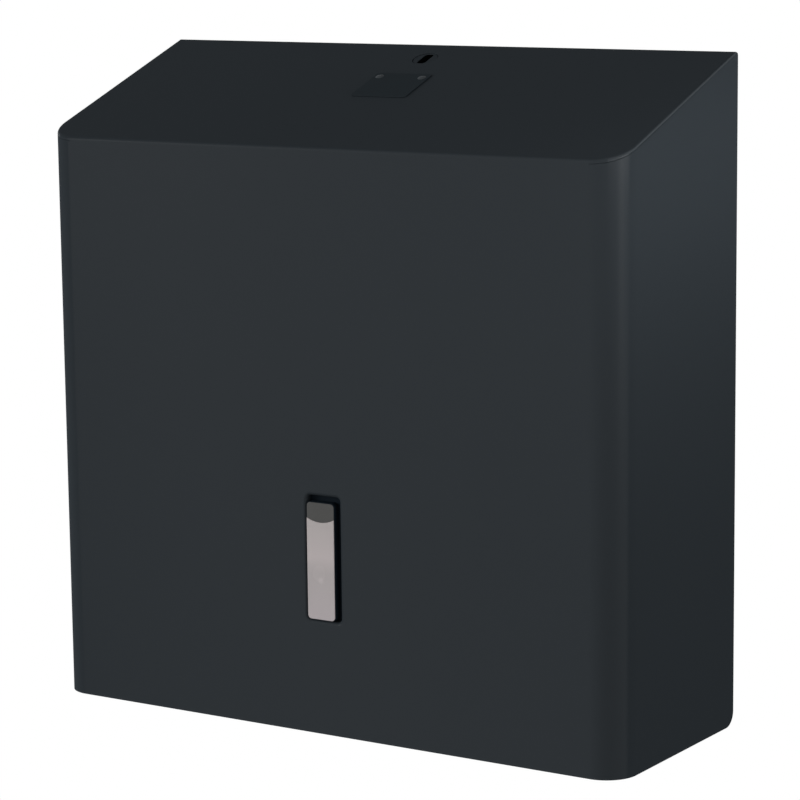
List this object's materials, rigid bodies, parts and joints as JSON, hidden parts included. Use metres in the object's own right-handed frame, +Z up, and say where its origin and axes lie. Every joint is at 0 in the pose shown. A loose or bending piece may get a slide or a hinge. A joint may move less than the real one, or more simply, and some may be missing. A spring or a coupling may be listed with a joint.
{
  "type": "multi-roll toilet paper dispenser",
  "caption": "Wall box with a sloped top and a locked cover that tips forward, holding toilet rolls on a turning carousel behind a narrow level window.",
  "frame": {"origin": "on the wall plane, on the carousel's axis, at the centre of the wall screw pattern", "axes": "+X to the right, +Y into the wall (the front faces -Y), +Z up"},
  "size_m": [0.31, 0.1124, 0.3112],
  "materials": {
    "powder_coat": "fine matt anthracite powder coat",
    "back_coat": "matt anthracite powder coat",
    "zinc_steel": "bright zinc plate",
    "spring_steel": "satin spring steel",
    "nylon": "natural nylon",
    "buffer_rubber": "matt black",
    "black_plastic": "satin black",
    "milky_pane": "milky, glossy",
    "grey_plastic": "satin dark grey",
    "badge_coat": "dark satin, bare",
    "rivet_coat": "grey",
    "lock_metal": "dark satin",
    "spindle_plastic": "light grey, semi gloss",
    "core_board": "grey-brown board",
    "tissue": "soft white tissue"
  },
  "bodies": {
    "wall_unit": {"back_plate": "back_coat", "hinge_bushes": "nylon", "side_buffers": "buffer_rubber", "strike_hook": "zinc_steel", "strike_rivets": "zinc_steel", "axle_stud": "zinc_steel", "axle_washer": "zinc_steel", "axle_screw": "zinc_steel", "detent_spring": "spring_steel", "detent_screws": "zinc_steel"},
    "cover": {"front_cover": "powder_coat", "sloped_top": "powder_coat", "hinge_pins": "zinc_steel", "window_frame": "black_plastic", "window_pane": "milky_pane", "window_clip": "grey_plastic", "badge_plate": "badge_coat", "badge_rivets": "rivet_coat", "lock_housing": "zinc_steel"},
    "lock": {"lock_cylinder": "lock_metal", "lock_cam": "zinc_steel", "cam_screw": "zinc_steel"},
    "carousel": {"carousel_rotor": "zinc_steel", "hub_bush": "nylon", "hub_cap": "black_plastic", "spindle_screws": "zinc_steel", "spindle_1": "spindle_plastic", "spindle_2": "spindle_plastic", "spindle_3": "spindle_plastic", "spindle_4": "spindle_plastic"},
    "roll_1": {"roll_core_1": "core_board", "roll_paper_1": "tissue"},
    "roll_2": {"roll_core_2": "core_board", "roll_paper_2": "tissue"},
    "roll_3": {"roll_core_3": "core_board", "roll_paper_3": "tissue"},
    "roll_4": {"roll_core_4": "core_board", "roll_paper_4": "tissue"}
  },
  "joints": [
    {"name": "cover_hinge", "type": "hinge", "parent": "wall_unit", "child": "cover", "pos_m": [0, -0.0088, -0.12665], "axis": [1, 0, 0], "range_deg": [0, 85]},
    {"name": "lock_turn", "type": "hinge", "parent": "cover", "child": "lock", "pos_m": [0, -0.01874, 0.17204], "axis": [0, 0.3493, -0.937], "range_deg": [0, 90]},
    {"name": "carousel_turn", "type": "hinge", "parent": "wall_unit", "child": "carousel", "pos_m": [0, 0, 0], "axis": [0, -1, 0], "continuous": true, "deforming": ["detent_spring"]},
    {"name": "roll_1_spin", "type": "hinge", "parent": "carousel", "child": "roll_1", "pos_m": [0, -0.058, -0.07565], "axis": [0, -1, 0], "continuous": true},
    {"name": "roll_2_spin", "type": "hinge", "parent": "carousel", "child": "roll_2", "pos_m": [0.07565, -0.058, 0], "axis": [0, -1, 0], "continuous": true},
    {"name": "roll_3_spin", "type": "hinge", "parent": "carousel", "child": "roll_3", "pos_m": [0, -0.058, 0.07565], "axis": [0, -1, 0], "continuous": true},
    {"name": "roll_4_spin", "type": "hinge", "parent": "carousel", "child": "roll_4", "pos_m": [-0.07565, -0.058, 0], "axis": [0, -1, 0], "continuous": true}
  ]
}
